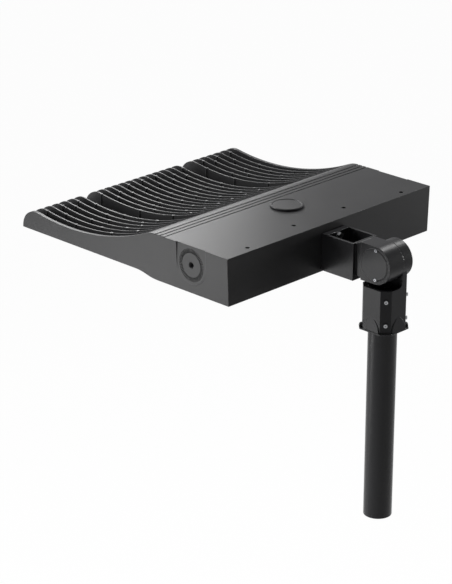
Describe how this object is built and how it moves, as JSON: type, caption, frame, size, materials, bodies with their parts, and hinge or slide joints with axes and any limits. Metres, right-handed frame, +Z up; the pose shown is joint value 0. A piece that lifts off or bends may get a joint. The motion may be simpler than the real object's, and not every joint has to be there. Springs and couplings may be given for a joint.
{
  "type": "flood light",
  "caption": "Finned die-cast LED flood light on a short box-section arm, with a toothed tilting knuckle and an octagonal slip-over socket clamped on a round pole.",
  "frame": {"origin": "centre of the pole's lower end", "axes": "+Z up along the pole; the head reaches out along -Y with its nose furthest that way; +X across the head, towards the knuckle's capped side"},
  "size_m": [0.617, 0.8077, 0.6232],
  "materials": {
    "cast_paint": "fine-texture black powder coat on die-cast aluminium",
    "pole_paint": "smooth black powder coat on steel tube",
    "stainless": "bright stainless steel",
    "zinc_steel": "zinc-plated steel",
    "silicone": "matt black silicone rubber",
    "driver_case": "anodised aluminium case",
    "blue_plastic": "satin moulded plastic",
    "pale_plastic": "satin moulded plastic",
    "black_plastic": "matt moulded plastic",
    "board_white": "white solder mask on the circuit board",
    "phosphor": "yellow phosphor under clear silicone",
    "clear_lens": "clear moulded polycarbonate"
  },
  "bodies": {
    "post": {"pole": "pole_paint"},
    "socket": {"slipfitter_body": "cast_paint", "set_screws": "stainless", "pivot_bolt": "zinc_steel", "pivot_washers": "zinc_steel", "pivot_nut": "zinc_steel"},
    "head": {"arm_bracket": "cast_paint", "knuckle_cap": "cast_paint", "knuckle_cap_screws": "stainless", "arm_bolts": "stainless", "arm_washers": "stainless", "arm_gasket": "silicone", "housing": "cast_paint", "photocell_cap": "cast_paint", "photocell_gasket": "silicone", "tray_screws": "zinc_steel", "driver_tray": "zinc_steel", "led_driver": "driver_case", "surge_protector": "blue_plastic", "terminal_block": "pale_plastic", "wire_grommet": "silicone", "breather_vent": "black_plastic", "driver_door": "cast_paint", "door_gasket": "silicone", "door_screws": "stainless", "led_boards": "board_white", "led_chips": "phosphor", "lens_gasket": "silicone", "lens_panel": "clear_lens", "lens_bezel": "cast_paint", "bezel_screws": "stainless"}
  },
  "joints": [
    {"name": "pole_swivel", "type": "hinge", "parent": "post", "child": "socket", "pos_m": [0, 0, 0.46], "axis": [0, 0, 1], "continuous": true},
    {"name": "head_tilt", "type": "hinge", "parent": "socket", "child": "head", "pos_m": [0, 0.0044, 0.5695], "axis": [1, 0, 0], "range_deg": [-90, 10]}
  ]
}
